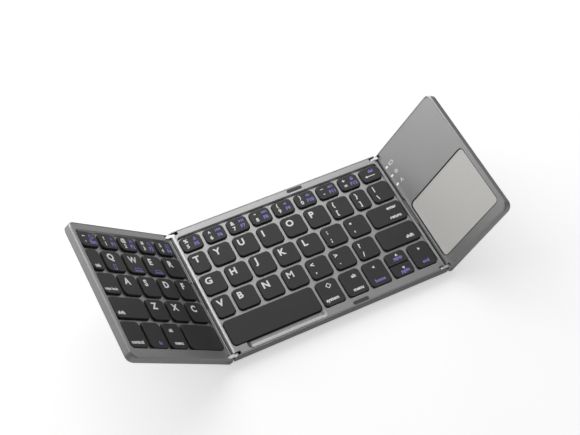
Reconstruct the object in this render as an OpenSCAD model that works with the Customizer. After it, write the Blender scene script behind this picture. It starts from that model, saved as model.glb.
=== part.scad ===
// Folding keyboard in three slim panels, drawn half open: the centre lies flat and the wings are raised.
// Origin: middle of the centre panel's flat underside. X runs along the panels, Y to the back, Z up.
// A panel is drawn in its own frame, with height 0 at its middle, which is the height of its hinge pins.
// A wing is drawn from its pins outwards along +X, and the left one is then mirrored.

/* [Panels] */
// Depth of every panel, front to back
panel_depth = 98; // [94:1:110]
// Thickness of every panel
panel_t = 6; // [5.6:0.1:8]
// Distance from the middle of the centre panel to the hinge pins in its ends
centre_half = 73.4; // [72:0.1:80]
// Length of the right wing, from its hinge pins to its outer edge
right_len = 61.3; // [60:0.1:63]
// Gap that the two wings leave between them when they are folded in
fold_gap = 1.6; // [0.8:0.1:3]
// Gap between the round edges of neighbouring panels
hinge_gap = 0.5; // [0.3:0.1:1]
// Radius of the outer corners, seen from above
corner_r = 4.8; // [4:0.1:8]
// Bevel along the top edge of the side walls
top_bevel = 0.6; // [0.2:0.1:0.8]
// Bevel along the bottom edge of the side walls
bottom_bevel = 1.2; // [0.4:0.1:1.6]

/* [Pose] */
// Angle that the left wing is raised from flat
left_raise = 42; // [0:1:90]
// Angle that the right wing is raised from flat
right_raise = 60; // [0:1:90]

/* [Shells] */
// Thickness of the side walls of a base
wall = 1; // [0.8:0.1:1.4]
// Thickness of the floor of a base
floor_t = 0.8; // [0.6:0.1:1]
// Width of the ledge inside the side walls that a deck rests on
ledge = 1.5; // [1:0.1:3]
// Open seam between a deck and the side walls round it
seam = 0.12; // [0.05:0.01:0.3]
// Small bevel along the edges of a deck
deck_bevel = 0.15; // [0.05:0.05:0.3]
// Depth of the key well below the top of a deck
well_depth = 1.4; // [1:0.1:1.6]
// Thickness of the deck under the key well
deck_t = 0.7; // [0.5:0.1:1]
// Radius of the corners of a key well
well_r = 3; // [1:0.1:4]
// Width of the rim behind a key well
rim_back = 5.4; // [4:0.1:7]
// Width of the rim in front of a key well
rim_front = 6.6; // [5:0.1:8]
// Width of the rim at the left wing's outer edge
rim_outer = 3; // [2:0.1:5]
// Width of the flat part of the left wing's rim beside its hinge
rim_hinge = 1; // [0.8:0.1:2]

/* [Keys] */
// Space between neighbouring keys
key_gap = 2.25; // [1.5:0.05:3]
// Depth of the number keys
number_d = 10.85; // [8:0.05:13]
// Depth of the keys in the three letter rows
letter_d = 15.1; // [13:0.05:16]
// Width of a full letter key. The widths in a row keep their proportions and fill the key well.
letter_w = 15; // [12:0.1:17]
// Width of the T key
key_t_w = 11.7; // [9:0.1:15]
// Width of the closing bracket key
bracket_w = 11.1; // [9:0.1:15]
// Width of the V key
key_v_w = 12; // [9:0.1:15]
// Width of the enter key
enter_w = 25; // [20:0.1:30]
// Width of the right shift key
shift_right_w = 28; // [20:0.1:34]
// Width of the long space key
space_right_w = 61.8; // [50:0.1:75]
// Width of the keys to the right of the long space key
bottom_w = 14.55; // [11:0.05:17]
// Width of the tab key
tab_w = 10; // [8:0.1:15]
// Width of the F key
key_f_w = 13.2; // [10:0.1:16]
// Width of the D key
key_d_w = 13.7; // [10:0.1:16]
// Width of the S key
key_s_w = 14.5; // [10:0.1:16]
// Width of the A key
key_a_w = 14.4; // [10:0.1:16]
// Width of the caps lock key
caps_w = 14.1; // [10:0.1:18]
// Width of the left shift key
shift_left_w = 27.2; // [20:0.1:34]
// Width of the left wing's space key
space_left_w = 29.2; // [20:0.1:36]
// Width of the keys outside the left wing's space key
left_bottom_w = 14.3; // [11:0.1:17]
// Radius of the corners of a key
key_r = 2.8; // [1:0.1:3.2]
// Height of a keycap
key_h = 2.5; // [2.2:0.1:3]
// How far the keycaps stand above the rim
key_proud = 0.1; // [0:0.05:0.15]
// Bevel round the top of a keycap
key_bevel = 0.5; // [0.2:0.1:0.8]
// Clearance between a keycap and its opening
key_clear = 0.25; // [0.15:0.05:0.35]
// How far a key travels when it is pressed
key_travel = 1.4; // [1:0.1:1.4]
// Space between the number keys and the back of the key well
margin_back = 1.9; // [0.5:0.1:3]
// Space between the bottom row and the front of the key well
margin_front = 0.5; // [0.4:0.1:2]
// Space between the end keys and the ends of the key well
margin_side = 0.5; // [0.4:0.1:1]
// Gap between the two stacked arrow keys
arrow_gap = 0.6; // [0.3:0.1:1]
// Thickness of the switch boards
board_t = 0.8; // [0.5:0.1:0.8]
// Radius of the contact dome under a key
dome_r = 2.2; // [1:0.1:3]
// Clearance left over a dome when its key is pressed
dome_clear = 0.2; // [0.1:0.05:0.3]

/* [Thumb scoop] */
// Left end of the level part of the scoop, from the middle of the centre panel
scoop_left = 61.4; // [40:0.1:64]
// Right end of the level part of the scoop, from the middle of the centre panel
scoop_right = 14; // [12:0.1:30]
// Width of the scoop's slope
scoop_run = 3.6; // [2:0.1:4]

/* [Hinges] */
// Radius of the hinge pins
pin_r = 0.6; // [0.4:0.05:0.6]
// Length of a hinge pin
pin_len = 5.4; // [4.5:0.1:5.6]
// How far a pin's end lies inside the side wall's face
pin_sunk = 0.15; // [0:0.05:0.3]
// Clearance between a pin and its bore in a panel
pin_clear = 0.05; // [0.02:0.01:0.1]
// Clearance between a pin and the eye of its link
eye_clear = 0.02; // [0.01:0.01:0.05]
// Thickness of a hinge link
link_t = 2; // [1.5:0.1:2.1]
// Radius of the ends of a hinge link
link_r = 1.9; // [1.4:0.1:2]
// Clearance beside a hinge link in its slot
link_side = 0.2; // [0.1:0.05:0.3]
// Clearance under a hinge link in its slot
link_under = 0.4; // [0.2:0.1:0.5]
// How far a link's slot runs past the pin into the panel
slot_in = 2.6; // [2.3:0.1:4]
// Width of the flex ribbon across a hinge
ribbon_w = 20.5; // [10:0.5:30]
// Height of the ribbon's sleeve above the pins
ribbon_up = 0.5; // [0.3:0.1:0.7]
// Depth of the ribbon's sleeve below the pins
ribbon_down = 0.4; // [0.2:0.1:0.6]
// Clearance round the ribbon's sleeve
ribbon_clear = 0.2; // [0.15:0.05:0.3]

/* [Feet and bumpers] */
// Length of a rubber foot
foot_len = 11; // [6:0.5:16]
// Width of a rubber foot
foot_w = 2.2; // [1.5:0.1:3]
// Height of the front feet below the underside
foot_h = 1.1; // [0.9:0.1:2]
// Distance of a foot's middle from the end of its panel
foot_end = 10; // [8.5:0.5:16]
// Distance of the front feet's middle from the front edge
foot_front = 4.8; // [3:0.1:8]
// Depth of the pockets that hold the rubber feet
foot_seat = 0.3; // [0.1:0.1:0.5]
// Width of the ridge under a panel's back edge
ridge_w = 4; // [3:0.1:6]
// Height of the ridge
ridge_h = 0.7; // [0.3:0.1:0.8]
// Distance of the ridge from the back edge
ridge_back = 1.2; // [1:0.1:3]
// Distance of the ridge's outer end from a wing's outer edge
ridge_end = 2.2; // [1.5:0.1:5]
// Length of a bumper on the rim
bumper_len = 11.1; // [6:0.1:16]
// Width of a bumper
bumper_w = 2.4; // [1.5:0.1:3]
// Height of a bumper above the rim
bumper_up = 0.2; // [0:0.05:0.3]
// Depth of a bumper's pocket
bumper_seat = 0.6; // [0.3:0.1:1]
// Distance of the bumpers to the right of the middle
bumper_x = 13.3; // [8:0.1:30]
// Distance of the front bumper's middle from the front edge
bumper_front = 2.9; // [2.6:0.1:4]
// Distance of the back bumper's middle from the back edge
bumper_back = 2.8; // [2.6:0.1:4]
// Clearance round rubber pieces in their pockets
rubber_clear = 0.05; // [0.02:0.01:0.1]

/* [Right wing] */
// Distance of the touchpad from the right wing's outer edge
pad_rim = 3; // [2.6:0.1:8]
// Depth of the touchpad, front to back
pad_d = 45; // [30:0.1:60]
// Thickness of the touchpad
pad_t = 1; // [0.6:0.1:1]
// Distance of the touchpad from the hinge pins
pad_u = 2.2; // [1.5:0.1:2.3]
// Distance of the touchpad's front from the front edge
pad_front = 7.8; // [5:0.1:10]
// Depth of the touchpad's face below the deck
pad_sunk = 0.5; // [0.1:0.1:0.5]
// Clearance round the touchpad
pad_clear = 0.35; // [0.1:0.05:0.5]
// Radius of the touchpad's corners
pad_r = 3; // [1:0.1:6]
// Length of an indicator light
lens_l = 2.2; // [1.5:0.1:3]
// Width of an indicator light
lens_w = 1.3; // [1:0.1:2]
// Distance of the indicator lights' middle from the hinge pins
lens_u = 2.6; // [2:0.1:4]
// Distance of the hindmost indicator light from the back edge
lens_back = 12.8; // [8:0.1:16]
// Distance from one indicator light to the next
lens_pitch = 7.5; // [4:0.1:9]
// Clearance round an indicator light
lens_clear = 0.05; // [0.02:0.01:0.1]
// Distance of the battery from the side wall's ledge
battery_side = 10; // [1:0.5:20]
// Depth of the battery, front to back
battery_d = 40; // [25:0.5:44]
// Distance of the battery from the front wall's ledge
battery_front = 2; // [0.5:0.5:5]
// Thickness of the battery
battery_t = 2.6; // [2:0.1:2.7]
// Distance of the main circuit board from the side wall's ledge
main_side = 4; // [0.5:0.5:12]
// Depth of the main circuit board
main_d = 36; // [25:0.5:38]
// Width of the charging socket
port_w = 9; // [8.5:0.1:10]
// Height of the charging socket
port_h = 3; // [2.6:0.1:3]
// Length of the charging socket
port_l = 7; // [6:0.1:9]
// Distance of the charging socket from the hinge pins
port_u = 20; // [12:0.5:45]
// Clearance round the charging socket
port_clear = 0.15; // [0.05:0.05:0.2]
// Thickness of the charging socket's sheet metal
port_wall = 0.3; // [0.2:0.05:0.4]
// Thickness of the tongue in the charging socket
tongue_t = 0.7; // [0.5:0.1:0.9]
// Distance from one chip on the main board to the next
chip_pitch = 15; // [10:0.5:16]
// Height of a chip
chip_h = 1; // [0.5:0.1:1.3]

/* [Hidden] */
NODES = [
    "centre_base", "centre_deck", "centre_switch_board", "centre_feet", "centre_bumpers",
    "left_base", "left_deck", "left_switch_board", "left_feet",
    "right_base", "right_deck", "touchpad", "indicator_lenses", "battery", "main_board",
    "charging_port", "right_feet",
    "left_hinge_links", "left_hinge_pins", "left_flex_ribbon",
    "right_hinge_links", "right_hinge_pins", "right_flex_ribbon",
    "key_a", "key_b", "key_c", "key_d", "key_e", "key_f", "key_g", "key_h", "key_i", "key_j",
    "key_k", "key_l", "key_m", "key_n", "key_o", "key_p", "key_q", "key_r", "key_s", "key_t",
    "key_u", "key_v", "key_w", "key_x", "key_y", "key_z",
    "key_space_left", "key_space_right", "key_enter", "key_shift_left", "key_shift_right",
    "keys_number_left", "keys_number_centre", "keys_function_left", "keys_function_centre",
    "keys_punctuation"
];
$fn = 48;

// Round edges have the pin at their centre, so the gap between two panels is the same at every angle
edge_r = panel_t / 2;
link_len = 2 * edge_r + hinge_gap;
left_len = 2 * centre_half - right_len - fold_gap;
half_d = panel_depth / 2;
wing_pin_x = centre_half + link_len;
past = 1;

// Heights in a panel, from its middle
top_z = panel_t / 2;
well_z = top_z - well_depth;
deck_z = well_z - deck_t;
floor_z = floor_t - panel_t / 2;
board_z = floor_z + board_t;
key_z = top_z + key_proud - key_h;
dome_h = key_z - key_travel - dome_clear - board_z;

// Shells
deck_inset = wall + seam;
cavity_half = half_d - wall - ledge;
cavity_r = 2;
board_gap = 0.3;
post_in = 1.5;
key_room = 0.3;
wing_cavity = rim_hinge + margin_side - key_room;
key_foot = 0.1;

// Key rows, back to front: [depth, middle in Y]
field_back = half_d - rim_back - margin_back;
field_front = rim_front + margin_front - half_d;
bottom_d = field_back - field_front - number_d - 3 * letter_d - 4 * key_gap;
row_depths = [number_d, letter_d, letter_d, letter_d, bottom_d];
function sum(v, n) = n <= 0 ? 0 : v[n - 1] + sum(v, n - 1);
function row_y(r) = field_back - sum(row_depths, r) - r * key_gap - row_depths[r] / 2;

// Keys of a row in order: [node, width]. A third entry marks a key that is split into two stacked ones.
centre_rows = [
    [for (i = [1 : 9]) ["keys_number_centre", letter_w]],
    [["key_t", key_t_w], ["key_y", letter_w], ["key_u", letter_w], ["key_i", letter_w],
     ["key_o", letter_w], ["key_p", letter_w], ["keys_punctuation", letter_w],
     ["keys_punctuation", bracket_w], ["keys_punctuation", letter_w]],
    [["key_g", letter_w], ["key_h", letter_w], ["key_j", letter_w], ["key_k", letter_w],
     ["key_l", letter_w], ["keys_punctuation", letter_w], ["keys_punctuation", letter_w],
     ["key_enter", enter_w]],
    [["key_v", key_v_w], ["key_b", letter_w], ["key_n", letter_w], ["key_m", letter_w],
     ["keys_punctuation", letter_w], ["keys_punctuation", letter_w],
     ["keys_punctuation", letter_w], ["key_shift_right", shift_right_w]],
    [["key_space_right", space_right_w], ["keys_function_centre", bottom_w],
     ["keys_function_centre", bottom_w], ["keys_function_centre", bottom_w],
     ["keys_function_centre", bottom_w, "stacked"], ["keys_function_centre", bottom_w]]
];
left_rows = [
    [for (i = [1 : 5]) ["keys_number_left", letter_w]],
    [["key_r", letter_w], ["key_e", letter_w], ["key_w", letter_w], ["key_q", letter_w],
     ["keys_function_left", tab_w]],
    [["key_f", key_f_w], ["key_d", key_d_w], ["key_s", key_s_w], ["key_a", key_a_w],
     ["keys_function_left", caps_w]],
    [["key_c", letter_w], ["key_x", letter_w], ["key_z", letter_w],
     ["key_shift_left", shift_left_w]],
    [["key_space_left", space_left_w], ["keys_function_left", left_bottom_w],
     ["keys_function_left", left_bottom_w], ["keys_function_left", left_bottom_w]]
];
function given(row) = sum([for (k = row) k[1]], len(row));
function fitted(row, field) =
    [for (k = row) k[1] * (field - (len(row) - 1) * key_gap) / given(row)];

// Every key of a panel: [node, middle in X, middle in Y, width, depth, stacked]
function layout(rows, start, field) = [
    for (r = [0 : len(rows) - 1])
        let (w = fitted(rows[r], field))
            for (i = [0 : len(w) - 1])
                [rows[r][i][0], start + sum(w, i) + i * key_gap + w[i] / 2, row_y(r), w[i],
                 row_depths[r], len(rows[r][i]) > 2]
];
centre_field = 2 * (centre_half - margin_side);
left_well = left_len - rim_outer - rim_hinge;
centre_keys = layout(centre_rows, margin_side - centre_half, centre_field);
left_keys = layout(left_rows, rim_hinge + margin_side, left_well - 2 * margin_side);
KEY_NODES = [for (n = NODES) if (n[0] == "k" && n[1] == "e" && n[2] == "y") n];

// Hinges
link_y = half_d - wall - link_side - link_t / 2;
slot_w = link_t + 2 * link_side;
bore_end = 0.1;
bore_len = pin_len + pin_sunk + bore_end;
// A raised wing turns the sleeve's top against the inner face of its notch
notch_in = ribbon_up + ribbon_clear;

// Feet
ridge_start = 0.4;
ridge_y = half_d - ridge_back - ridge_w / 2;
front_foot_y = foot_front - half_d;

// Right wing
pad_w = right_len - pad_rim - pad_u;
pad_x = pad_u + pad_w / 2;
pad_y = pad_front + pad_d / 2 - half_d;
lens_r = 0.4;
lens_y = half_d - lens_back;
board_start = post_in + board_gap;
right_inner = right_len - wall - ledge;
battery_w = right_inner - battery_side - board_start;
battery_x = board_start + battery_w / 2;
battery_y = battery_d / 2 + battery_front - cavity_half;
main_w = right_inner - main_side - board_start;
main_x = board_start + main_w / 2;
main_y = cavity_half - board_gap - main_d / 2;
chips = [7, 9, 5];
port_sunk = 0.2;
port_under = 0.05;
port_r = port_h / 2 - 0.05;
port_y = half_d - port_sunk - port_l;
port_z = deck_z - port_under - port_h / 2;

// Places a panel's own frame in the model
module on_centre() {
    translate([0, 0, top_z]) children();
}

module on_left() {
    translate([-wing_pin_x, 0, top_z]) rotate([0, left_raise, 0]) mirror([1, 0, 0]) children();
}

module on_right() {
    translate([wing_pin_x, 0, top_z]) rotate([0, -right_raise, 0]) children();
}

// Draws its children on both sides of the middle, front and back
module front_and_back() {
    for (s = [0, 1]) mirror([0, s, 0]) children();
}

module left_and_right() {
    for (s = [0, 1]) mirror([s, 0, 0]) children();
}

// Flat outlines
module rounded(w, d, r) {
    square([w, d - 2 * r], center = true);
    square([w - 2 * r, d], center = true);
    for (x = [-1, 1]) for (y = [-1, 1]) translate([x * (w / 2 - r), y * (d / 2 - r)]) circle(r);
}

// Outline that starts square before the hinge and ends with two round corners
module tongue(x0, x1, half, r) {
    translate([x0, -half]) square([x1 - r - x0, 2 * half]);
    translate([x0, r - half]) square([x1 - x0, 2 * (half - r)]);
    for (y = [-1, 1]) translate([x1 - r, y * (half - r)]) circle(r);
}

module pill(l, w, h) {
    linear_extrude(h) {
        square([l - w, w], center = true);
        for (x = [-1, 1]) translate([x * (l - w) / 2, 0]) circle(w / 2);
    }
}

// Cross-section of a panel from its middle to its edge, bevelled at the edge
function edge_section(r, z0, z1, bt, bb) =
    [[0, z0], [r - bb, z0], [r, z0 + bb], [r, z1 - bt], [r - bt, z1], [0, z1]];

module bevelled_bar(length, half, z0, z1, bt, bb) {
    front_and_back() rotate([90, 0, 90]) linear_extrude(length)
        polygon(edge_section(half, z0, z1, bt, bb));
}

// Everything on the inner side of a round hinge edge at X = 0
module hinge_side() {
    reach = 4 * panel_depth;
    translate([0, -reach / 2, -reach / 2]) cube(reach);
    rotate([90, 0, 0]) cylinder(r = edge_r, h = reach, center = true);
}

module wing_solid(length, half, r, z0, z1, bt, bb) {
    intersection() {
        union() {
            translate([-edge_r - past, 0, 0])
                bevelled_bar(length - r + edge_r + past, half, z0, z1, bt, bb);
            rotate([90, 0, 0]) linear_extrude(2 * (half - r), center = true)
                polygon(edge_section(length, z0, z1, bt, bb));
            front_and_back() translate([length - r, half - r, 0]) rotate_extrude()
                polygon(edge_section(r, z0, z1, bt, bb));
        }
        hinge_side();
    }
}

module centre_solid(half, z0, z1, bt, bb) {
    whole = 2 * (centre_half + edge_r);
    intersection() {
        translate([-whole / 2 - past, 0, 0]) bevelled_bar(whole + 2 * past, half, z0, z1, bt, bb);
        translate([-centre_half, 0, 0]) hinge_side();
        translate([centre_half, 0, 0]) mirror([1, 0, 0]) hinge_side();
    }
}

// Cuts for one hinge, whose pins lie at X = 0 with the panel towards +X
module link_slots() {
    z0 = -link_r - link_under;
    front_and_back() translate([-edge_r - past, link_y - slot_w / 2, z0])
        cube([edge_r + past + slot_in, slot_w, top_z + past - z0]);
}

module pin_bores() {
    front_and_back() translate([0, half_d + past, 0]) rotate([90, 0, 0])
        cylinder(r = pin_r + pin_clear, h = bore_len + past);
}

module ribbon_notch() {
    w = ribbon_w + 2 * ribbon_clear;
    z0 = -ribbon_down - ribbon_clear;
    translate([-edge_r - past, -w / 2, z0])
        cube([edge_r + past + notch_in, w, top_z + past - z0]);
}

// Ridge under the back edge, from X = a to X = b
module ridge(a, b) {
    translate([(a + b) / 2, ridge_y, -panel_t / 2 - ridge_h])
        pill(b - a, ridge_w, ridge_h + floor_t / 2);
}

// Four feet under a panel, or their pockets, with middles at X = a and X = b
module feet_at(a, b, grow, depth) {
    l = foot_len + 2 * grow;
    w = foot_w + 2 * grow;
    low = -panel_t / 2 - foot_h - depth;
    for (x = [a, b]) {
        translate([x, front_foot_y, low]) pill(l, w, foot_h + depth + foot_seat);
        translate([x, ridge_y, low]) pill(l, w, foot_h + depth + foot_seat - ridge_h);
    }
}

module foot_pockets(a, b) {
    feet_at(a, b, rubber_clear, past);
}

// A keycap that stands on height 0
module keycap(w, d) {
    section = edge_section(key_r, 0, key_h, key_bevel, key_foot);
    for (x = [-1, 1]) for (y = [-1, 1])
        translate([x * (w / 2 - key_r), y * (d / 2 - key_r), 0]) rotate_extrude() polygon(section);
    left_and_right() rotate([90, 0, 0]) linear_extrude(d - 2 * key_r, center = true)
        polygon(edge_section(w / 2, 0, key_h, key_bevel, key_foot));
    translate([key_r - w / 2, 0, 0])
        bevelled_bar(w - 2 * key_r, d / 2, 0, key_h, key_bevel, key_foot);
}

module key_at(k) {
    translate([k[1], k[2], key_z]) difference() {
        keycap(k[3], k[4]);
        if (k[5]) translate([-k[3] / 2 - past, -arrow_gap / 2, -past])
            cube([k[3] + 2 * past, arrow_gap, key_h + 2 * past]);
    }
}

module key_openings(keys) {
    for (k = keys) translate([k[1], k[2], deck_z - past]) linear_extrude(deck_t + well_depth)
        rounded(k[3] + 2 * key_clear, k[4] + 2 * key_clear, key_r + key_clear);
}

module domes(keys) {
    for (k = keys) translate([k[1], k[2], board_z - board_t / 2])
        cylinder(r = dome_r, h = dome_h + board_t / 2);
}

module key_well(x0, x1) {
    depth = panel_depth - rim_back - rim_front;
    translate([(x0 + x1) / 2, (rim_front - rim_back) / 2, well_z])
        linear_extrude(well_depth + past) rounded(x1 - x0, depth, well_r);
}

// Space in front of the key well that lets a thumb reach the long space key.
// Its slope is an arc that leaves the deck level and stops at the deck's front edge.
module scoop() {
    arc_r = (scoop_run * scoop_run + well_depth * well_depth) / (2 * well_depth);
    level = deck_inset + scoop_run - half_d;
    back = rim_front + past - half_d;
    translate([-scoop_left, level, well_z]) {
        translate([0, 0, arc_r]) {
            rotate([0, 90, 0]) cylinder(r = arc_r, h = scoop_left - scoop_right);
            for (x = [0, scoop_left - scoop_right]) translate([x, 0, 0]) {
                sphere(arc_r);
                rotate([-90, 0, 0]) cylinder(r = arc_r, h = back - level);
            }
        }
        cube([scoop_left - scoop_right, back - level, arc_r]);
    }
}

module bumpers_at(grow, up) {
    l = bumper_len + 2 * grow;
    w = bumper_w + 2 * grow;
    for (y = [bumper_front - half_d, half_d - bumper_back])
        translate([bumper_x, y, top_z - bumper_seat]) pill(l, w, bumper_seat + up);
}

// Centre panel
module centre_base() {
    color("gray") on_centre() difference() {
        union() {
            centre_solid(half_d, -panel_t / 2, top_z, top_bevel, bottom_bevel);
            ridge(ridge_start - centre_half, centre_half - ridge_start);
        }
        translate([0, 0, deck_z]) linear_extrude(panel_t)
            square([2 * (centre_half + edge_r + past), 2 * (half_d - wall)], center = true);
        translate([0, 0, floor_z]) linear_extrude(panel_t)
            rounded(2 * (centre_half - post_in), 2 * cavity_half, cavity_r);
        translate([0, (field_back + field_front) / 2, floor_z]) linear_extrude(panel_t)
            rounded(centre_field + 2 * key_room, field_back - field_front + 2 * key_room, cavity_r);
        left_and_right() translate([-centre_half, 0, 0]) {
            link_slots();
            pin_bores();
        }
        foot_pockets(foot_end - centre_half - edge_r, centre_half + edge_r - foot_end);
    }
}

module centre_deck() {
    color("darkgray") on_centre() difference() {
        centre_solid(half_d - deck_inset, deck_z, top_z, deck_bevel, deck_bevel);
        key_well(-centre_half, centre_half);
        key_openings(centre_keys);
        scoop();
        left_and_right() translate([-centre_half, 0, 0]) link_slots();
        bumpers_at(rubber_clear, past);
    }
}

module centre_switch_board() {
    color("darkgreen") on_centre() {
        translate([0, 0, floor_z]) linear_extrude(board_t)
            rounded(2 * (centre_half - post_in - board_gap), 2 * (cavity_half - board_gap), cavity_r);
        domes(centre_keys);
    }
}

module centre_feet() {
    color("dimgray") on_centre()
        feet_at(foot_end - centre_half - edge_r, centre_half + edge_r - foot_end, 0, 0);
}

module centre_bumpers() {
    color("dimgray") on_centre() bumpers_at(0, bumper_up);
}

// Wings
module wing_base(length) {
    difference() {
        union() {
            wing_solid(length, half_d, corner_r, -panel_t / 2, top_z, top_bevel, bottom_bevel);
            ridge(ridge_start, length - ridge_end);
        }
        translate([0, 0, deck_z]) linear_extrude(panel_t)
            tongue(-edge_r - past, length - wall, half_d - wall, corner_r - wall);
        translate([0, 0, floor_z]) linear_extrude(panel_t)
            tongue(wing_cavity, length - wall - ledge, cavity_half, cavity_r);
        link_slots();
        pin_bores();
        ribbon_notch();
        foot_pockets(foot_end - edge_r, length - foot_end);
    }
}

module wing_deck(length) {
    difference() {
        wing_solid(length - deck_inset, half_d - deck_inset, corner_r - deck_inset, deck_z, top_z,
                   deck_bevel, deck_bevel);
        link_slots();
        ribbon_notch();
    }
}

module left_base() {
    color("gray") on_left() wing_base(left_len);
}

module left_deck() {
    color("darkgray") on_left() difference() {
        wing_deck(left_len);
        key_well(rim_hinge, left_len - rim_outer);
        key_openings(left_keys);
    }
}

module left_switch_board() {
    w = left_len - wall - ledge - post_in - 2 * board_gap;
    color("darkgreen") on_left() {
        translate([post_in + board_gap + w / 2, 0, floor_z]) linear_extrude(board_t)
            rounded(w, 2 * (cavity_half - board_gap), cavity_r);
        domes(left_keys);
    }
}

module left_feet() {
    color("dimgray") on_left() feet_at(foot_end - edge_r, left_len - foot_end, 0, 0);
}

module right_base() {
    color("gray") on_right() difference() {
        wing_base(right_len);
        translate([port_u, port_y, port_z]) port_hull(port_clear, port_l + past);
    }
}

module right_deck() {
    color("darkgray") on_right() difference() {
        wing_deck(right_len);
        translate([pad_x, pad_y, top_z - pad_sunk - pad_t]) linear_extrude(panel_t)
            rounded(pad_w + 2 * pad_clear, pad_d + 2 * pad_clear, pad_r + pad_clear);
        lenses_at(lens_clear, past);
    }
}

module touchpad() {
    color("silver") on_right() translate([pad_x, pad_y, top_z - pad_sunk - pad_t])
        linear_extrude(pad_t) rounded(pad_w, pad_d, pad_r);
}

module lenses_at(grow, over) {
    for (i = [0 : 2]) translate([lens_u, lens_y - i * lens_pitch, deck_z - over])
        linear_extrude(top_z - deck_z + 2 * over)
            rounded(lens_l + 2 * grow, lens_w + 2 * grow, lens_r);
}

module indicator_lenses() {
    color("white") on_right() lenses_at(0, 0);
}

module battery() {
    color("lightgray") on_right() translate([battery_x, battery_y, floor_z])
        linear_extrude(battery_t) rounded(battery_w, battery_d, cavity_r);
}

module main_board() {
    color("darkgreen") on_right() {
        difference() {
            translate([main_x, main_y, floor_z]) linear_extrude(board_t)
                rounded(main_w, main_d, cavity_r);
            translate([port_u, port_y - port_clear, port_z])
                port_hull(port_clear, port_l + past);
        }
        for (i = [0 : len(chips) - 1])
            translate([main_x + (i - 1) * chip_pitch, main_y - main_d / 4, board_z - board_t / 2])
                linear_extrude(chip_h + board_t / 2) square(chips[i], center = true);
    }
}

// Outer form of the charging socket, which opens to the back
module port_hull(grow, length) {
    rotate([90, 0, 0]) mirror([0, 0, 1]) linear_extrude(length)
        rounded(port_w + 2 * grow, port_h + 2 * grow, port_r + grow);
}

module charging_port() {
    color("silver") on_right() translate([port_u, port_y, port_z]) {
        difference() {
            port_hull(0, port_l);
            translate([0, port_wall, 0]) port_hull(-port_wall, port_l);
        }
        translate([0, port_l / 2 - port_wall, 0])
            cube([port_w - port_h + port_wall, port_l - 4 * port_wall, tongue_t], center = true);
    }
}

module right_feet() {
    color("dimgray") on_right() feet_at(foot_end - edge_r, right_len - foot_end, 0, 0);
}

// Hinges: a link lies level at rest, from the centre's pin to the wing's pin
module links() {
    front_and_back() translate([0, link_y + link_t / 2, 0]) rotate([90, 0, 0])
        linear_extrude(link_t) difference() {
            union() {
                translate([0, -link_r]) square([link_len, 2 * link_r]);
                for (x = [0, link_len]) translate([x, 0]) circle(link_r);
            }
            for (x = [0, link_len]) translate([x, 0]) circle(pin_r + eye_clear);
        }
}

module pins() {
    front_and_back() for (x = [0, link_len])
        translate([x, half_d - pin_sunk, 0]) rotate([90, 0, 0]) cylinder(r = pin_r, h = pin_len);
}

// Sleeve of the flex ribbon: it leaves the wing at its pins and stops short of the centre's round edge
module ribbon() {
    far = link_len - edge_r - ribbon_clear;
    translate([link_len - far, -ribbon_w / 2, -ribbon_down])
        cube([far, ribbon_w, ribbon_up + ribbon_down]);
}

module at_right_link() {
    translate([centre_half, 0, top_z]) children();
}

module at_left_link() {
    mirror([1, 0, 0]) at_right_link() children();
}

module left_hinge_links() {
    color("silver") at_left_link() links();
}

module left_hinge_pins() {
    color("gray") at_left_link() pins();
}

module left_flex_ribbon() {
    color("lightgray") at_left_link() ribbon();
}

module right_hinge_links() {
    color("silver") at_right_link() links();
}

module right_hinge_pins() {
    color("gray") at_right_link() pins();
}

module right_flex_ribbon() {
    color("lightgray") at_right_link() ribbon();
}

// Every keycap that belongs to one node
module keycaps(name) {
    color("dimgray") {
        on_centre() for (k = centre_keys) if (k[0] == name) key_at(k);
        on_left() for (k = left_keys) if (k[0] == name) key_at(k);
    }
}

centre_base();
centre_deck();
centre_switch_board();
centre_feet();
centre_bumpers();
left_base();
left_deck();
left_switch_board();
left_feet();
right_base();
right_deck();
touchpad();
indicator_lenses();
battery();
main_board();
charging_port();
right_feet();
left_hinge_links();
left_hinge_pins();
left_flex_ribbon();
right_hinge_links();
right_hinge_pins();
right_flex_ribbon();
for (k = KEY_NODES) keycaps(k);
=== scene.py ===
import bpy
import math
from mathutils import Matrix, Vector


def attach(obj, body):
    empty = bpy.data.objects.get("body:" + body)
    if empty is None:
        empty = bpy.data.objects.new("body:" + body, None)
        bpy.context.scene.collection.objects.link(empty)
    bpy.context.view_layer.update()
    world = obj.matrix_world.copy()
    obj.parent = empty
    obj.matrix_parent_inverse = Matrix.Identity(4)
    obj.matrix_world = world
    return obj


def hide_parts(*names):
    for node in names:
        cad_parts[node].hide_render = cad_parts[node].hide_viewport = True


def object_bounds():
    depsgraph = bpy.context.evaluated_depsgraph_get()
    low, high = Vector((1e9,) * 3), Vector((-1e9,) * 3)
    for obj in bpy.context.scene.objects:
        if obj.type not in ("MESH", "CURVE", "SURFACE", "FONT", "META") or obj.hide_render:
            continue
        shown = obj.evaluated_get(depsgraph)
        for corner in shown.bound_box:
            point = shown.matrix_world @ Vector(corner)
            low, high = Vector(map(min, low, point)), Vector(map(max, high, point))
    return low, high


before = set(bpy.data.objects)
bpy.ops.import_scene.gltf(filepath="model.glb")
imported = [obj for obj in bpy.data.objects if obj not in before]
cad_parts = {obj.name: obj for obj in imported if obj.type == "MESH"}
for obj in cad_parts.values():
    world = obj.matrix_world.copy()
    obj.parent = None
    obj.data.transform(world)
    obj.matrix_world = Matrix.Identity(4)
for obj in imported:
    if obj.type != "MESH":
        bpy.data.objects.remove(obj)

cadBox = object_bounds()
mm = 0.001

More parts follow.
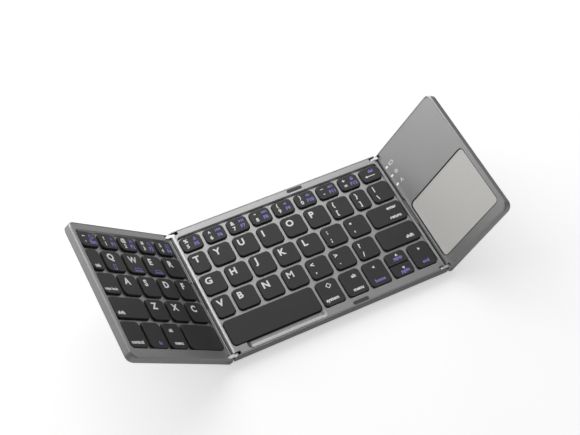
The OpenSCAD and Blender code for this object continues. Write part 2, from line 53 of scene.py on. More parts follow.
# The three panels: height and place of their pins, and how far each wing is raised
panels = {"pinHeight": 3 * mm, "wingPin": 79.9 * mm, "faceUp": 3 * mm,
          "leftRaise": math.radians(42), "rightRaise": math.radians(60)}
centreFrame = Matrix.Translation((0, 0, panels["pinHeight"]))
leftFrame = (Matrix.Translation((-panels["wingPin"], 0, panels["pinHeight"]))
             @ Matrix.Rotation(panels["leftRaise"], 4, "Y"))
rightFrame = (Matrix.Translation((panels["wingPin"], 0, panels["pinHeight"]))
              @ Matrix.Rotation(-panels["rightRaise"], 4, "Y"))


# A number in a material. Sums and products of these add the Math nodes.
class Number:
    def __init__(self, finish, socket):
        self.finish = finish
        self.socket = socket

    def maths(self, operation, other):
        made = self.finish.node("ShaderNodeMath", {"operation": operation}, {0: self, 1: other})
        return Number(self.finish, made.outputs[0])

    def __add__(self, other):
        return self.maths("ADD", other)

    def __mul__(self, other):
        return self.maths("MULTIPLY", other)

    __radd__ = __add__
    __rmul__ = __mul__


# A material with its node tree: node() makes any node, the others the few that every finish uses
class Finish:
    def __init__(self, name, roughness, metallic=0.0):
        self.material = bpy.data.materials.new(name)
        self.material.use_nodes = True
        self.tree = self.material.node_tree
        self.shader = self.tree.nodes["Principled BSDF"]
        self.set("Metallic", metallic)
        self.set("Roughness", roughness)
        self.place = self.node("ShaderNodeTexCoord", {}, {}).outputs["Object"]

    def node(self, kind, settings, sockets):
        made = self.tree.nodes.new(kind)
        for key, value in settings.items():
            setattr(made, key, value)
        for key, value in sockets.items():
            self.feed(made.inputs[key], value)
        return made

    def feed(self, socket, value):
        if isinstance(value, Number):
            value = value.socket
        if isinstance(value, bpy.types.NodeSocket):
            self.tree.links.new(value, socket)
        elif isinstance(value, tuple) and len(value) == 3 and socket.type == "RGBA":
            socket.default_value = (*value, 1)
        else:
            socket.default_value = value

    def set(self, name, value):
        self.feed(self.shader.inputs[name], value)

    def noise(self, perMetre, detail=2.0, stretch=None):
        place = self.place
        if stretch:
            place = self.node("ShaderNodeMapping", {}, {"Vector": place, "Scale": stretch}).outputs[0]
        made = self.node("ShaderNodeTexNoise", {}, {"Vector": place, "Scale": perMetre, "Detail": detail})
        return Number(self, made.outputs[0])

    # Sockets 6 and 7 are the node's two colours, and output 2 is the mixed one
    def mix(self, share, first, second):
        made = self.node("ShaderNodeMix", {"data_type": "RGBA"}, {0: share, 6: first, 7: second})
        return made.outputs[2]

    def bump(self, height, strength, distance):
        made = self.node("ShaderNodeBump", {}, {"Height": height, "Strength": strength,
                                                "Distance": distance})
        self.set("Normal", made.outputs[0])


# Finish from one fine speck: it varies the colour, the roughness by "uneven", and the relief
def speckled(name, settings):
    finish = Finish(name, settings["roughness"], settings.get("metallic", 0.0))
    speck = finish.noise(settings["speck"], settings["detail"], settings.get("stretch"))
    share = speck
    if "cloud" in settings:
        cloud = finish.noise(settings["cloud"])
        share = speck * (1 - settings["cloudShare"]) + cloud * settings["cloudShare"]
    finish.set("Base Color", finish.mix(share, settings["dark"], settings["light"]))
    if "uneven" in settings:
        smoothest = settings["roughness"] - settings["uneven"] / 2
        finish.set("Roughness", speck * settings["uneven"] + smoothest)
    if "relief" in settings:
        finish.bump(speck, settings["relief"], settings["deep"] * mm)
    return finish.material


# The same from one tone, which "range" makes darker and lighter
def toned(name, tone, settings, **changes):
    settings = {**settings, **changes}
    dark, light = (tuple(c * share for c in tone) for share in settings["range"])
    return speckled(name, dict(settings, dark=dark, light=light))


# Aluminium shells
metal = {"roughness": 0.34, "metallic": 0.92, "speck": 7000, "detail": 3, "cloud": 28, "cloudShare": 0.3,
         "range": (0.9, 1.1), "uneven": 0.16, "relief": 0.10, "deep": 0.06}
deckMetal = toned("deckAnodised", (0.42, 0.42, 0.42), metal)
# Painted shade: a darker copy of the deck metal for the sides and front-facing faces of the shells
sideShadeMetal = toned("sidePaintedShade", (0.31, 0.31, 0.31), metal)
# Painted shade: a darker copy of the deck metal for the scoop's slope, which tones down its reflection
scoopShadeMetal = toned("scoopPaintedShade", (0.27, 0.27, 0.27), metal)
# Painted highlight: a lighter copy of the deck metal along the rounded hinge edges
hingeHighlightMetal = toned("hingePaintedHighlight", (0.62, 0.62, 0.62), metal)
undersideMetal = toned("undersideSatin", (0.60, 0.60, 0.595), metal, roughness=0.50)
# Painted shadow: a dark finish for the touchpad's edge
touchpadShadowEdge = toned("touchpadShadowEdge", (0.14, 0.14, 0.138), metal, metallic=0.6)

# Keys and their print
keyMatter = {"speck": 5200, "detail": 3, "cloud": 60, "cloudShare": 0.4, "uneven": 0.14,
             "relief": 0.16, "deep": 0.05}
keyPlastic = speckled("keyPlastic", dict(keyMatter, roughness=0.44, dark=(0.019, 0.019, 0.0195),
                                         light=(0.032, 0.032, 0.0325)))
# Painted shade: the caps' sides and shoulders are a near-black copy of the key plastic
keySideShade = speckled("keySideShade", dict(keyMatter, roughness=0.5, dark=(0.004, 0.004, 0.004),
                                   light=(0.008, 0.008, 0.008)))
ink = {"roughness": 0.47, "speck": 4000, "detail": 2, "range": (0.92, 1), "uneven": 0.1}
whiteInk = toned("whiteLegend", (0.94, 0.94, 0.95), ink)
violetInk = toned("violetLegend", (0.25, 0.24, 0.68), ink)

# Rubber, steel, touchpad, battery and ribbon
rubber = {"roughness": 0.62, "speck": 3600, "detail": 4, "uneven": 0.2, "relief": 0.3, "deep": 0.08}
blackRubber = speckled("blackRubber", dict(rubber, dark=(0.018, 0.018, 0.019), light=(0.034, 0.034, 0.035)))
greyRubber = speckled("greyRubber", dict(rubber, dark=(0.055, 0.055, 0.055), light=(0.080, 0.080, 0.079)))
steel = {"metallic": 1.0, "speck": 900, "detail": 4, "range": (0.9, 1), "uneven": 0.14,
         "relief": 0.12, "deep": 0.04}
linkSteel = toned("satinLink", (0.87, 0.87, 0.86), steel, roughness=0.31, stretch=(1, 6, 6))
pinSteel = toned("darkPin", (0.30, 0.30, 0.31), steel, roughness=0.29, stretch=(6, 1, 6))
socketSteel = toned("socketSteel", (0.66, 0.66, 0.65), steel, roughness=0.27, stretch=(1, 5, 1))
touchpadFace = speckled("touchpadFace", {
    "roughness": 0.42, "metallic": 0.25, "speck": 6000, "detail": 3, "uneven": 0.12,
    "dark": (0.67, 0.66, 0.637), "light": (0.74, 0.73, 0.706), "relief": 0.10, "deep": 0.04})
foilPouch = speckled("foilPouch", {
    "roughness": 0.36, "metallic": 0.6, "speck": 180, "detail": 4,
    "dark": (0.5, 0.5, 0.52), "light": (0.68, 0.68, 0.7), "relief": 0.4, "deep": 0.4})
ribbonSleeve = speckled("ribbonSleeve", {
    "roughness": 0.5, "speck": 3000, "detail": 3, "uneven": 0.16,
    "dark": (0.26, 0.26, 0.26), "light": (0.32, 0.32, 0.315), "relief": 0.2, "deep": 0.06})


# Frosted lens, lit a little from inside
def lensFinish():
    finish = Finish("frostedLens", 0.3)
    tone = finish.mix(finish.noise(2500), (0.85, 0.87, 0.9), (0.95, 0.96, 0.97))
    finish.set("Base Color", tone)
    finish.set("Emission Color", tone)
    finish.set("Emission Strength", 0.35)
    return finish.material


# Circuit board: green fields between lighter copper traces
def boardFinish():
    finish = Finish("solderMask", 0.35)
    traces = finish.node("ShaderNodeTexBrick", {"offset": 0.37, "squash_frequency": 3},
                         {"Vector": finish.place, "Color1": (0.012, 0.11, 0.05),
                          "Color2": (0.014, 0.13, 0.06), "Mortar": (0.03, 0.22, 0.10),
                          "Scale": 320.0, "Mortar Size": 0.06, "Brick Width": 0.9})
    finish.set("Base Color", traces.outputs["Color"])
    finish.bump(traces.outputs["Fac"], 0.3, 0.05 * mm)
    return finish.material


frostedLens = lensFinish()
solderMask = boardFinish()
print("finishes made")


def pick(obj):
    bpy.ops.object.select_all(action="DESELECT")
    obj.select_set(True)
    bpy.context.view_layer.objects.active = obj


# Edit mode: choose() picks edges by their two ends, or faces, and stays in it until done()
def choose(obj, edges=None, faces=None):
    pick(obj)
    bpy.ops.object.mode_set(mode="EDIT")
    bpy.ops.mesh.select_mode(type="EDGE" if edges else "FACE")
    bpy.ops.mesh.select_all(action="DESELECT")
    bpy.ops.object.mode_set(mode="OBJECT")
    if edges:
        for edge in obj.data.edges:
            edge.select = edges(*(obj.data.vertices[i].co for i in edge.vertices))
    if faces:
        for face in obj.data.polygons:
            face.select = faces(face)
    bpy.ops.object.mode_set(mode="EDIT")


def done():
    bpy.ops.object.mode_set(mode="OBJECT")


def everyFace(face):
    return True


def facesUp(face):
    return face.normal.z > 0.99


def addModifier(obj, kind, **settings):
    pick(obj)
    made = obj.modifiers.new(kind.title(), kind)
    for key, value in settings.items():
        setattr(made, key, value)
    bpy.ops.object.modifier_apply(modifier=made.name)


# Angles and distances that separate real edges and corners from those of the tessellation
mesh = {"doubles": 0.004 * mm, "flat": math.radians(0.6), "sharp": math.radians(38)}


def breakEdges(obj, width):
    addModifier(obj, "BEVEL", width=width, segments=2, limit_method="ANGLE",
                angle_limit=mesh["sharp"], harden_normals=False)


# Rounds the shading of narrow edges and leaves broad faces flat
def smooth(obj, angle):
    pick(obj)
    bpy.ops.object.shade_smooth_by_angle(angle=math.radians(angle))
    addModifier(obj, "WEIGHTED_NORMAL", mode="FACE_AREA", weight=100, keep_sharp=True)


def copyObject(source, name):
    made = bpy.data.objects.new(name, source.data.copy())
    bpy.context.scene.collection.objects.link(made)
    return made


# Copy of a CAD node in its panel's own frame, with doubles merged and flat faces whole
def copyNode(node, name, panelFrame):
    made = copyObject(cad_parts[node], name)
    made.data.materials.clear()
    made.data.transform(panelFrame.inverted())
    choose(made)
    bpy.ops.mesh.select_all(action="SELECT")
    bpy.ops.mesh.remove_doubles(threshold=mesh["doubles"])
    bpy.ops.mesh.dissolve_limited(angle_limit=mesh["flat"])
    done()
    return made


def join(parts, name):
    bpy.ops.object.select_all(action="DESELECT")
    for part in parts:
        part.select_set(True)
    bpy.context.view_layer.objects.active = parts[0]
    bpy.ops.object.join()
    parts[0].name = parts[0].data.name = name
    return parts[0]


# From the panel's own frame back to the shared one
def land(obj, panelFrame):
    obj.data.transform(panelFrame)
    obj.data.update()


# Finished piece: which body it rides and which node it stands for
def settle(obj, body, node):
    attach(obj, body)
    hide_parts(node)


# Shells, feet, links and ribbons: the CAD shape with broken edges. "which" picks a face's finish.
def dressShell(node, body, panelFrame, look):
    made = copyNode(node, node + "Skin", panelFrame)
    for finish in look["finishes"]:
        made.data.materials.append(finish)
    if look["well"]:
        slopeWellWall(made)
    breakEdges(made, look["bevel"])
    for face in made.data.polygons:
        face.material_index = look["which"](face)
    smooth(made, look["smooth"])
    land(made, panelFrame)
    settle(made, body, node)


# The wall behind the keys slopes: its foot stands forward of its top, less so in the corners
wellWall = {"back": 43.6 * mm, "foot": 1.6 * mm, "top": 3 * mm, "corner": 3 * mm, "slope": 1.15 * mm,
            "near": 0.02 * mm}


def slopeWellWall(made):
    points = [v.co for v in made.data.vertices]
    near = wellWall["near"]
    feet = set()
    for face in made.data.polygons:
        low = min(points[i].z for i in face.vertices)
        high = max(points[i].z for i in face.vertices)
        if abs(low - wellWall["foot"]) < near and abs(high - wellWall["top"]) < near:
            feet.update(i for i in face.vertices if points[i].z - low < near)
    for i in feet:
        share = (points[i].y - wellWall["back"] + wellWall["corner"]) / wellWall["corner"]
        points[i].y -= wellWall["slope"] * max(share, 0)


# Shell: 1 is the underside, 2 what faces up and isn't turned to the front, 0 the rest, which is painted
# darker as shade on the sides and front-facing faces
shellZones = {"down": -0.5, "undersideBelow": -2.9 * mm, "up": 0.25, "front": -0.1}


def shellFinish(face):
    if face.normal.z < shellZones["down"] and face.center.z < shellZones["undersideBelow"]:
        return 1
    return 2 if face.normal.z > shellZones["up"] and face.normal.y > shellZones["front"] else 0


# Centre deck: 1 is the slope of the thumb scoop, painted darker as shade to tone down its reflection; 2 is
# the rounded edge along each hinge, painted lighter as a highlight; 0 the rest
deckZones = {"scoopFront": -37 * mm, "scoopUp": (0.3, 0.985), "hinge": 73.4 * mm, "hingeUp": (0.79, 0.995)}


def centreDeckFinish(face):
    scoopLow, scoopHigh = deckZones["scoopUp"]
    hingeLow, hingeHigh = deckZones["hingeUp"]
    if scoopLow < face.normal.z < scoopHigh and face.center.y < deckZones["scoopFront"]:
        return 1
    return 2 if abs(face.center.x) > deckZones["hinge"] and hingeLow < face.normal.z < hingeHigh else 0


def oneFinish(face):
    return 0


shellLook = {"finishes": [sideShadeMetal, undersideMetal, deckMetal], "which": shellFinish,
             "bevel": 0.12 * mm, "smooth": 50, "slot": "panel_metal", "well": False}
deckLook = {"finishes": [deckMetal], "which": oneFinish, "bevel": 0.09 * mm, "smooth": 50,
            "slot": "deck_metal", "well": True}
centreDeckLook = dict(deckLook, finishes=[deckMetal, scoopShadeMetal, hingeHighlightMetal], which=centreDeckFinish)
rubberLook = {"finishes": [blackRubber], "which": oneFinish, "bevel": 0.35 * mm, "smooth": 40,
              "slot": "rubber_pads", "well": False}
bumperLook = dict(rubberLook, finishes=[greyRubber])
linkLook = {"finishes": [linkSteel], "which": oneFinish, "bevel": 0.3 * mm, "smooth": 40,
            "slot": "link_steel", "well": False}
ribbonLook = {"finishes": [ribbonSleeve], "which": oneFinish, "bevel": 0.15 * mm, "smooth": 30,
              "slot": "ribbon_sleeve", "well": False}
for node, body, panelFrame, look in (
        ("centre_base", "centre", centreFrame, shellLook),
        ("left_base", "left_wing", leftFrame, shellLook),
        ("right_base", "right_wing", rightFrame, shellLook),
        ("centre_deck", "centre", centreFrame, centreDeckLook),
        ("left_deck", "left_wing", leftFrame, deckLook),
        ("right_deck", "right_wing", rightFrame, deckLook),
        ("centre_feet", "centre", centreFrame, rubberLook),
        ("left_feet", "left_wing", leftFrame, rubberLook),
        ("right_feet", "right_wing", rightFrame, rubberLook),
        ("centre_bumpers", "centre", centreFrame, bumperLook),
        ("left_hinge_links", "left_link", centreFrame, linkLook),
        ("right_hinge_links", "right_link", centreFrame, linkLook),
        ("left_flex_ribbon", "left_link", centreFrame, ribbonLook),
        ("right_flex_ribbon", "right_link", centreFrame, ribbonLook)):
    dressShell(node, body, panelFrame, look)
for node, finish in (("centre_switch_board", solderMask), ("left_switch_board", solderMask),
                     ("main_board", solderMask), ("battery", foilPouch),
                     ("charging_port", socketSteel), ("left_hinge_pins", pinSteel),
                     ("right_hinge_pins", pinSteel), ("indicator_lenses", frostedLens)):
    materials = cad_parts[node].data.materials
    materials.clear()
    materials.append(finish)
print("shells, feet, links and ribbons dressed")


# Touchpad: a pale face inside a thin dark edge, which is painted shadow where the pad meets the deck
pad = {"edge": 0.38 * mm, "chamfer": 0.1 * mm, "smooth": 30}


def modelTouchpad():
    made = copyNode("touchpad", "touchpadSkin", rightFrame)
    made.data.materials.append(touchpadFace)
    made.data.materials.append(touchpadShadowEdge)
    breakEdges(made, pad["chamfer"])
    broadest = max(face.area for face in made.data.polygons if facesUp(face))
    choose(made, faces=lambda face: facesUp(face) and face.area == broadest)
    bpy.ops.mesh.inset(thickness=pad["edge"])
    done()
    for face in made.data.polygons:
        face.material_index = 0 if face.select else 1
    smooth(made, pad["smooth"])
    land(made, rightFrame)
    settle(made, "right_wing", "touchpad")


modelTouchpad()
print("touchpad made")


# Keycaps: one cap is modelled, and each key is a copy fitted to its place
keycap = {"width": 15 * mm, "depth": 15.1 * mm, "height": 2.5 * mm, "corner": 2.8 * mm,
          "cornerCuts": 6, "shoulder": 0.55 * mm, "shoulderCuts": 3, "border": 0.8 * mm,
          "dish": 0.09 * mm, "innerCorner": 0.5 * mm, "shadedSideFrom": 0.8, "smooth": 50}


def modelKeycap():
    bpy.ops.object.select_all(action="DESELECT")
    bpy.ops.mesh.primitive_cube_add(size=1, location=(0, 0, 0))
    cap = bpy.context.object
    cap.name = "keycapPattern"
    cap.data.transform(Matrix.Diagonal((keycap["width"], keycap["depth"], keycap["height"], 1)))
    choose(cap, edges=lambda a, b: abs(a.z - b.z) > mm)
    bpy.ops.mesh.bevel(offset=keycap["corner"], segments=keycap["cornerCuts"], affect="EDGES")
    done()
    choose(cap, edges=lambda a, b: min(a.z, b.z) > mm)
    bpy.ops.mesh.bevel(offset=keycap["shoulder"], segments=keycap["shoulderCuts"], affect="EDGES")
    done()
    choose(cap, faces=lambda face: facesUp(face) and len(face.vertices) > 4)
    bpy.ops.mesh.inset(thickness=keycap["border"], depth=-keycap["dish"])
    done()
    return cap


# Moves the corners of a pattern out or in to a new size; only the stretch between them changes
def fitted(value, half, corner, newHalf, newCorner):
    size = abs(value)
    straight, newStraight = half - corner, newHalf - newCorner
    if size < straight:
        size = size * newStraight / straight
    else:
        size = newStraight + (size - straight) * newCorner / corner
    return math.copysign(size, value)


# "stacked" is 1 for the upper and -1 for the lower of two half keys, whose inner corners are sharper
def fitKeycap(pattern, low, high, stacked, name):
    made = copyObject(pattern, name)
    width, depth = high.x - low.x, high.y - low.y
    middle = (low + high) / 2
    corner = keycap["corner"]
    for vertex in made.data.vertices:
        x, y, z = vertex.co
        inner = stacked and (y > 0) != (stacked > 0)
        newCorner = keycap["innerCorner"] if inner else corner
        vertex.co = (
            middle.x + fitted(x, keycap["width"] / 2, corner, width / 2, newCorner),
            middle.y + fitted(y, keycap["depth"] / 2, corner, depth / 2, newCorner),
            low.z + (z + keycap["height"] / 2) * (high.z - low.z) / keycap["height"])
    return made


# Boxes of a node's solids in its panel's frame
def solidBoxes(node, panelFrame):
    copyNode(node, "measured", panelFrame)
    bpy.ops.mesh.separate(type="LOOSE")
    boxes = []
    for part in list(bpy.context.selected_objects):
        points = [v.co for v in part.data.vertices]
        low = Vector(min(p[i] for p in points) for i in range(3))
        high = Vector(max(p[i] for p in points) for i in range(3))
        boxes.append((low, high))
        bpy.data.objects.remove(part)
    return boxes


# Row by row from the back, or column by column from the left
reading = {"row": 4 * mm, "column": mm}


def readingOrder(boxes, inRows):
    if inRows:
        return sorted(boxes, key=lambda b: (-round((b[0].y + b[1].y) / 2 / reading["row"]), b[0].x))
    return sorted(boxes, key=lambda b: (round(b[0].x / reading["column"]), -b[0].y))


# Legends: letters, digits and small signs, each a thin raised print that is made once
legend = {"thick": 0.03 * mm, "sink": 0.01 * mm, "step": 0.002 * mm, "capShare": 0.729, "bold": 0.052,
          "boldSharp": 0.028, "boldWord": 0.056, "sharp": "MW$", "resolution": 3}
shapes = {}


def glyph(text, height):
    key = (text, height)
    if key not in shapes:
        bpy.ops.object.select_all(action="DESELECT")
        bpy.ops.object.text_add(location=(0, 0, 0))
        made = bpy.context.object
        curve = made.data
        curve.body = text
        curve.size = height / legend["capShare"]
        curve.align_x = "CENTER"
        curve.align_y = "CENTER"
        curve.extrude = legend["thick"] / 2
        bold = "boldSharp" if text in legend["sharp"] else "boldWord" if len(text) > 1 else "bold"
        curve.offset = legend[bold] * height
        curve.resolution_u = legend["resolution"]
        bpy.ops.object.convert(target="MESH")
        made.name = "glyph"
        points = [v.co for v in made.data.vertices]
        x, y = ((min(p[i] for p in points) + max(p[i] for p in points)) / 2 for i in range(2))
        made.data.transform(Matrix.Translation((-x, -y, 0)))
        shapes[key] = made
    return shapes[key]


# Parts of a sign, in millimetres from its middle. Each is a flat face, which sign() makes thick.
def ring(x, y, radius, corners, width):
    bpy.ops.mesh.primitive_circle_add(vertices=corners, radius=radius * mm, fill_type="NGON",
                                      location=(x * mm, y * mm, 0))
    choose(bpy.context.object, faces=everyFace)
    bpy.ops.mesh.inset(thickness=width * mm)
    bpy.ops.mesh.delete(type="FACE")
    done()


def disc(x, y, radius, corners, turned):
    bpy.ops.mesh.primitive_circle_add(vertices=corners, radius=radius * mm, fill_type="NGON",
                                      location=(x * mm, y * mm, 0), rotation=(0, 0, turned))


def bar(x, y, width, depth, turned):
    bpy.ops.mesh.primitive_plane_add(size=mm, location=(x * mm, y * mm, 0), rotation=(0, 0, turned))
    bpy.context.object.scale = (width, depth, 1)


def rays(reach, length, width):
    turns = [i * math.pi / 4 for i in range(8)]
    return [(bar, reach * math.cos(t), reach * math.sin(t), length, width, t) for t in turns]


up, down, east, west = 0, math.pi, -math.pi / 2, math.pi / 2
speaker = [(bar, -1.25, 0, 0.8, 1.1, 0), (disc, -0.55, 0, 1.25, 3, west)]
signs = {
    "screen": [(bar, 0, 0.9, 2.9, 0.35, 0), (bar, 0, -0.7, 2.9, 0.35, 0), (bar, -1.3, 0.1, 0.35, 1.9, 0),
               (bar, 1.3, 0.1, 0.35, 1.9, 0), (bar, 0, -1.3, 1.6, 0.3, 0)],
    "dim": [(disc, 0, 0, 0.5, 12, 0), *rays(1.0625, 0.25, 0.25)],
    "sun": [(disc, 0, 0, 0.65, 12, 0), *rays(1.25, 0.55, 0.28)],
    "search": [(ring, -0.25, 0.25, 0.95, 14, 0.32), (bar, 0.85, -0.85, 1.1, 0.38, -math.pi / 4)],
    "grid": [(bar, x * 0.95, y * 0.95, 0.6, 0.6, 0) for x in (-1, 0, 1) for y in (-1, 0, 1)],
    "lock": [(ring, 0, 0.55, 0.85, 14, 0.36), (bar, 0, -0.5, 2.1, 1.5, 0)],
    "back": [(disc, 1.0, 0, 1.15, 3, west), (disc, -0.5, 0, 1.15, 3, west), (bar, -1.75, 0, 0.4, 1.9, 0)],
    "play": [(disc, -1.0, 0, 1.2, 3, east), (bar, 0.55, 0, 0.5, 2.0, 0), (bar, 1.5, 0, 0.5, 2.0, 0)],
    "next": [(disc, -1.0, 0, 1.15, 3, east), (disc, 0.5, 0, 1.15, 3, east), (bar, 1.75, 0, 0.4, 1.9, 0)],
    "mute": speaker,
    "quieter": [*speaker, (bar, 0.75, 0, 0.4, 1.3, 0)],
    "louder": [*speaker, (bar, 0.75, 0, 0.4, 1.3, 0), (bar, 1.5, 0, 0.4, 2.0, 0)],
    "eject": [(disc, 0, 0.35, 1.2, 3, up), (bar, 0, -0.95, 2.1, 0.45, 0)],
    "phone": [(bar, 0, 1.2, 1.5, 0.3, 0), (bar, 0, -1.2, 1.5, 0.5, 0), (bar, -0.65, 0, 0.3, 2.4, 0),
              (bar, 0.65, 0, 0.3, 2.4, 0)],
    "wideScreen": [(bar, 0, 0.85, 4.4, 0.3, 0), (bar, 0, -0.6, 4.4, 0.3, 0), (bar, -2.05, 0.1, 0.3, 1.6, 0),
                   (bar, 2.05, 0.1, 0.3, 1.6, 0), (bar, 0, -1.05, 6.4, 0.32, 0)],
    "leftArrow": [(disc, 0, 0, 1.2, 3, west)],
    "rightArrow": [(disc, 0, 0, 1.2, 3, east)],
    "upArrow": [(disc, 0, 0, 1.2, 3, up)],
    "downArrow": [(disc, 0, 0, 1.2, 3, down)],
    "longArrow": [(disc, -2.9, 0, 1.15, 3, west), (bar, 0.4, 0, 6.2, 0.6, 0)],
    "diamond": [(bar, x * 0.85, y * 0.85, 2.8, 0.5, -x * y * math.pi / 4)
                for x in (-1, 1) for y in (-1, 1)],
    "battery": [(bar, 0, 1.05, 3.9, 0.5, 0), (bar, 0, -1.05, 3.9, 0.5, 0), (bar, -1.75, 0, 0.5, 2.4, 0),
                (bar, 1.75, 0, 0.5, 2.4, 0), (bar, 2.2, 0, 0.5, 1.1, 0), (bar, -0.8, 0, 0.9, 1.1, 0)],
    "wireless": [(ring, 0, 0, 1.4, 16, 0.55), (disc, 0, 0, 0.5, 10, 0)],
}


def sign(name):
    if name not in shapes:
        parts = []
        for shape, *sizes in signs[name]:
            bpy.ops.object.select_all(action="DESELECT")
            shape(*sizes)
            part = bpy.context.object
            bpy.ops.object.transform_apply(location=True, rotation=True, scale=True)
            # each part stands a little higher, so no two tops coincide where they cross
            height = len(parts) * legend["step"] - legend["thick"] / 2
            part.data.transform(Matrix.Translation((0, 0, height)))
            choose(part, faces=everyFace)
            bpy.ops.mesh.extrude_region_move(TRANSFORM_OT_translate={"value": (0, 0, legend["thick"])})
            bpy.ops.mesh.select_all(action="SELECT")
            bpy.ops.mesh.normals_make_consistent(inside=False)
            done()
            parts.append(part)
        shapes[name] = join(parts, "sign")
    return shapes[name]


# A print: what it says, "left" or "centre", millimetres from the key's left and back edges, height
# of its letters or scale of its sign, and ink
white, violet = "white", "violet"
inks = {white: whiteInk, violet: violetInk}
lettering = {"letter": 4.7, "pair": 3.3, "digit": 2.8, "word": 2.35, "longWord": 1.95,
             "function": 2.5, "functionOnWing": 2.9, "left": 2.9, "leftOnWing": 3.35}
signScale = {"plain": 1.0, "onWing": 1.3, "phone": 1.45, "wide": 1.2}
wingLetters = "QWERASDFZXC"
wingFunctions = ("Esc", "F1", "F2", "F3", "F4")


def letterKey(text, *extra):
    start = lettering["leftOnWing" if text in wingLetters else "left"]
    return [(text, "left", start, 4.95, lettering["letter"], white), *extra]


def pairKey(upper, lower):
    return [(upper, "centre", 3.8, 4.4, lettering["pair"], white),
            (lower, "centre", 3.8, 11.0, lettering["pair"], white)]


def numberKey(upper, lower, signName, function):
    onWing = function in wingFunctions
    scale = signScale["onWing" if onWing else "plain"]
    size = lettering["functionOnWing" if onWing else "function"]
    return [(upper, "centre", 4.1, 3.1, lettering["digit"], white),
            (lower, "centre", 4.1, 7.2, lettering["digit"], white),
            ("sign:" + signName, "centre", 10.2, 3.1, scale, violet),
            (function, "centre", 10.2, 7.1, size, violet)]


def word(text, x, y, ink=white, side="left", size="word"):
    return (text, side, x, y, lettering[size], ink)


def picture(name, x, y, ink=white, scale="plain"):
    return ("sign:" + name, "centre", x, y, signScale[scale], ink)


keyPrints = {
    "keys_number_left": [numberKey("~", "`", "screen", "Esc"), numberKey("!", "1", "dim", "F1"),
                         numberKey("@", "2", "sun", "F2"), numberKey("#", "3", "search", "F3"),
                         numberKey("$", "4", "grid", "F4")],
    "keys_number_centre": [numberKey("%", "5", "eject", "F5"), numberKey("^", "6", "back", "F6"),
                           numberKey("&", "7", "play", "F7"), numberKey("*", "8", "next", "F8"),
                           numberKey("(", "9", "mute", "F9"), numberKey(")", "0", "quieter", "F10"),
                           numberKey("_", "-", "louder", "F11"), numberKey("+", "=", "lock", "F12"),
                           [word("del", 8.4, 3.0, violet, "centre"), picture("longArrow", 6.6, 6.7)]],
    "keys_punctuation": [pairKey("{", "["), pairKey("}", "]"), pairKey("|", "\\"), pairKey(":", ";"),
                         pairKey('"', "'"), pairKey("<", ","), pairKey(">", "."), pairKey("?", "/")],
    "keys_function_left": [[word("tab", 2.4, 12.0)], [word("caps lock", 1.3, 11.9, size="longWord")],
                           [word("control", 1.7, 14.6)], [word("fn", 7.2, 14.6, violet)],
                           [word("alt", 4.0, 5.2), word("menu", 4.0, 14.6)]],
    "keys_function_centre": [[picture("diamond", 8.2, 4.6), word("system", 1.8, 14.6)],
                             [word("alt", 7.7, 4.9), word("menu", 4.6, 14.6)],
                             [picture("leftArrow", 7.4, 4.7), word("home", 7.2, 14.4, violet, "centre")],
                             [picture("upArrow", 8.4, 2.9), word("pgup", 8.4, 5.6, violet, "centre")],
                             [picture("downArrow", 8.4, 3.3), word("pgdn", 8.4, 6.0, violet, "centre")],
                             [picture("rightArrow", 7.4, 4.7), word("end", 7.4, 14.4, violet, "centre")]],
    "key_enter": [[word("enter", 17.6, 4.0, white, "centre"), word("return", 17.2, 11.3, white, "centre")]],
    "key_shift_right": [[word("shift", 21.1, 10.8, white, "centre")]],
    "key_shift_left": [[word("shift", 2.2, 11.4)]],
    "key_space_left": [[]],
    "key_space_right": [[]],
    "key_q": [letterKey("Q", picture("phone", 6.2, 12.0, violet, "phone"))],
    "key_w": [letterKey("W", picture("wideScreen", 8.0, 12.3, violet, "wide"))],
    "key_e": [letterKey("E", picture("wideScreen", 8.2, 12.3, violet, "wide"))],
}
for letter in "abcdfghijklmnoprstuvxyz":
    keyPrints["key_" + letter] = [letterKey(letter.upper())]
leftKeys = ["key_" + letter.lower() for letter in wingLetters] + [
    "key_space_left", "key_shift_left", "keys_number_left", "keys_function_left"]
halfKeys = {"sign:upArrow": 1, "sign:downArrow": -1}


def printOn(mark, left, back, height, owner):
    text, side, x, y, size, ink = mark
    if text.startswith("sign:"):
        made = copyObject(sign(text.removeprefix("sign:")), owner + "Print")
        made.data.transform(Matrix.Diagonal((size, size, 1, 1)))
    else:
        made = copyObject(glyph(text, size * mm), owner + "Print")
    made.data.materials.clear()
    made.data.materials.append(inks[ink])
    shift = x * mm
    if side == "left":
        shift -= min(v.co.x for v in made.data.vertices)
    made.data.transform(Matrix.Translation((left + shift, back - y * mm, height)))
    return made


def dressKeys(pattern, node, prints):
    panelFrame = leftFrame if node in leftKeys else centreFrame
    boxes = readingOrder(solidBoxes(node, panelFrame), node != "keys_function_centre")
    parts = []
    for (low, high), marks in zip(boxes, prints):
        stacked = sum(halfKeys.get(mark[0], 0) for mark in marks)
        cap = fitKeycap(pattern, low, high, stacked, node + "Cap")
        cap.data.materials.append(keyPlastic)
        cap.data.materials.append(keySideShade)
        # faces steeper than the top get the painted shade
        for face in cap.data.polygons:
            face.material_index = 1 if face.normal.z < keycap["shadedSideFrom"] else 0
        smooth(cap, keycap["smooth"])
        parts.append(cap)
        printHeight = high.z - keycap["dish"] + legend["sink"]
        parts += [printOn(mark, low.x, high.y, printHeight, node) for mark in marks]
    whole = join(parts, node + "Cap")
    land(whole, panelFrame)
    settle(whole, node + "_cap", node)


keycapPattern = modelKeycap()
for node, prints in keyPrints.items():
    dressKeys(keycapPattern, node, prints)
print("keycaps and legends made")

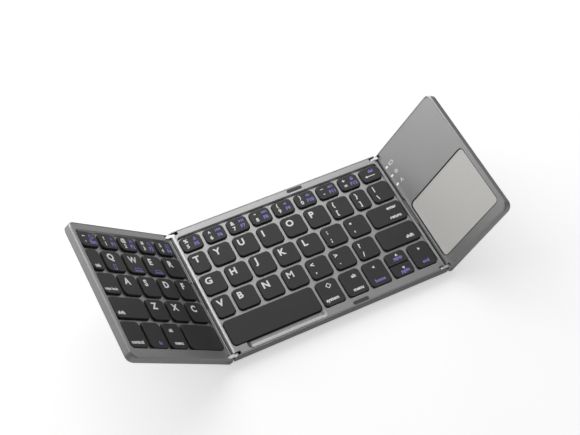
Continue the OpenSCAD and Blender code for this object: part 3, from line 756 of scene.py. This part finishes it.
# Signs beside the indicator lights: millimetres from the wing's pins and from the middle line
for name, text, x, y, size in (("batterySign", "sign:battery", 7.3, 36.2, 1.0),
                               ("wirelessSign", "sign:wireless", 7.4, 28.8, 1.0),
                               ("capitalsSign", "A", 7.4, 21.3, 2.6)):
    height = panels["faceUp"] + legend["sink"]
    mark = printOn((text, "centre", x, 0, size, white), 0, y * mm, height, name)
    mark.name = name
    land(mark, rightFrame)
    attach(mark, "right_wing")
for pattern in [keycapPattern, *shapes.values()]:
    bpy.data.objects.remove(pattern)
print("signs made")

# Floor: white to the camera, and it keeps the object's shadow
stage = {"size": 8.0, "below": 0.02 * mm, "shade": (0.80, 0.80, 0.80), "glow": (1.0, 1.0, 1.0),
         "lift": 0.45, "farLift": 0.80, "near": 0.30, "far": 1.30, "mirroredShare": 0.12}


def floorFinish():
    finish = Finish("paleFloor", 0.9)
    rayKinds = finish.node("ShaderNodeLightPath", {}, {}).outputs
    seen = Number(finish, rayKinds["Is Camera Ray"])
    seen = Number(finish, rayKinds["Is Glossy Ray"]) * stage["mirroredShare"] + seen
    distance = finish.node("ShaderNodeVectorMath", {"operation": "LENGTH"}, {0: finish.place})
    lift = finish.node("ShaderNodeMapRange", {"interpolation_type": "SMOOTHSTEP"},
                       {"Value": distance.outputs["Value"], "From Min": stage["near"],
                        "From Max": stage["far"], "To Min": stage["lift"], "To Max": stage["farLift"]})
    strength = seen * Number(finish, lift.outputs[0])
    finish.set("Base Color", stage["shade"])
    finish.set("Specular IOR Level", 0.0)
    finish.set("Emission Color", stage["glow"])
    glow = finish.node("ShaderNodeEmission", {}, {"Color": stage["glow"], "Strength": strength})
    both = finish.node("ShaderNodeAddShader", {}, {0: finish.shader.outputs[0], 1: glow.outputs[0]})
    output = finish.tree.nodes["Material Output"]
    finish.tree.links.new(both.outputs[0], output.inputs["Surface"])
    return finish.material


bpy.ops.object.select_all(action="DESELECT")
bpy.ops.mesh.primitive_plane_add(size=stage["size"], location=(0, 0, cadBox[0][2] - stage["below"]))
floor = bpy.context.object
floor.name = "paleFloor"
bpy.ops.object.transform_apply(location=True)
floor.data.materials.append(floorFinish())

# World: even light, dimmer in reflections and white to the camera
room = {"light": 0.34, "mirrored": 0.27, "seen": 1.0}
world = bpy.data.worlds.new("softRoom")
bpy.context.scene.world = world
world.use_nodes = True
backdrop = world.node_tree.nodes["Background"]
path = world.node_tree.nodes.new("ShaderNodeLightPath")
steps = []
for ray, amount in (("Is Glossy Ray", room["mirrored"] - room["light"]),
                    ("Is Camera Ray", room["seen"] - room["light"])):
    step = world.node_tree.nodes.new("ShaderNodeMath")
    step.operation = "MULTIPLY_ADD"
    world.node_tree.links.new(path.outputs[ray], step.inputs[0])
    step.inputs[1].default_value = amount
    if steps:
        world.node_tree.links.new(steps[-1].outputs[0], step.inputs[2])
    else:
        step.inputs[2].default_value = room["light"]
    steps.append(step)
world.node_tree.links.new(steps[-1].outputs[0], backdrop.inputs["Strength"])
backdrop.inputs["Color"].default_value = (1, 1, 1, 1)

# Lamps: place and size in metres and power in watts, each aimed at the middle of the object
lamps = {
    "backPanel": ((0.16, 0.93, 0.635), 1.18, 6.5),
    "leftPanel": ((-0.98, 0.98, 0.78), 1.7, 10.6),
}
for name, (place, size, power) in lamps.items():
    aim = (Vector((0, 0, 0)) - Vector(place)).to_track_quat("-Z", "Y").to_euler()
    bpy.ops.object.light_add(type="AREA", location=place, rotation=aim)
    lamp = bpy.context.object
    lamp.name = name
    lamp.data.shape = "DISK"
    lamp.data.size = size
    lamp.data.energy = power

# Camera fitted to corners of the object in the photograph
view = {"tilt": -0.583, "roll": -0.141, "pan": 0.591, "shift": (11.698 * mm, -22.856 * mm, -758.473 * mm),
        "lens": 73.14, "sensor": 36}
turn = (Matrix.Rotation(view["roll"], 3, "Z") @ Matrix.Rotation(view["tilt"], 3, "X")
        @ Matrix.Rotation(view["pan"], 3, "Z")).transposed()
eye = -(turn @ Vector(view["shift"])) + Vector((0, 0, panels["pinHeight"]))
bpy.ops.object.camera_add(location=eye, rotation=turn.to_euler())
camera = bpy.context.object
camera.data.lens = view["lens"]
camera.data.sensor_width = view["sensor"]
bpy.context.scene.camera = camera
bpy.context.scene.view_settings.view_transform = "Standard"
print("stage, lamps and camera set")
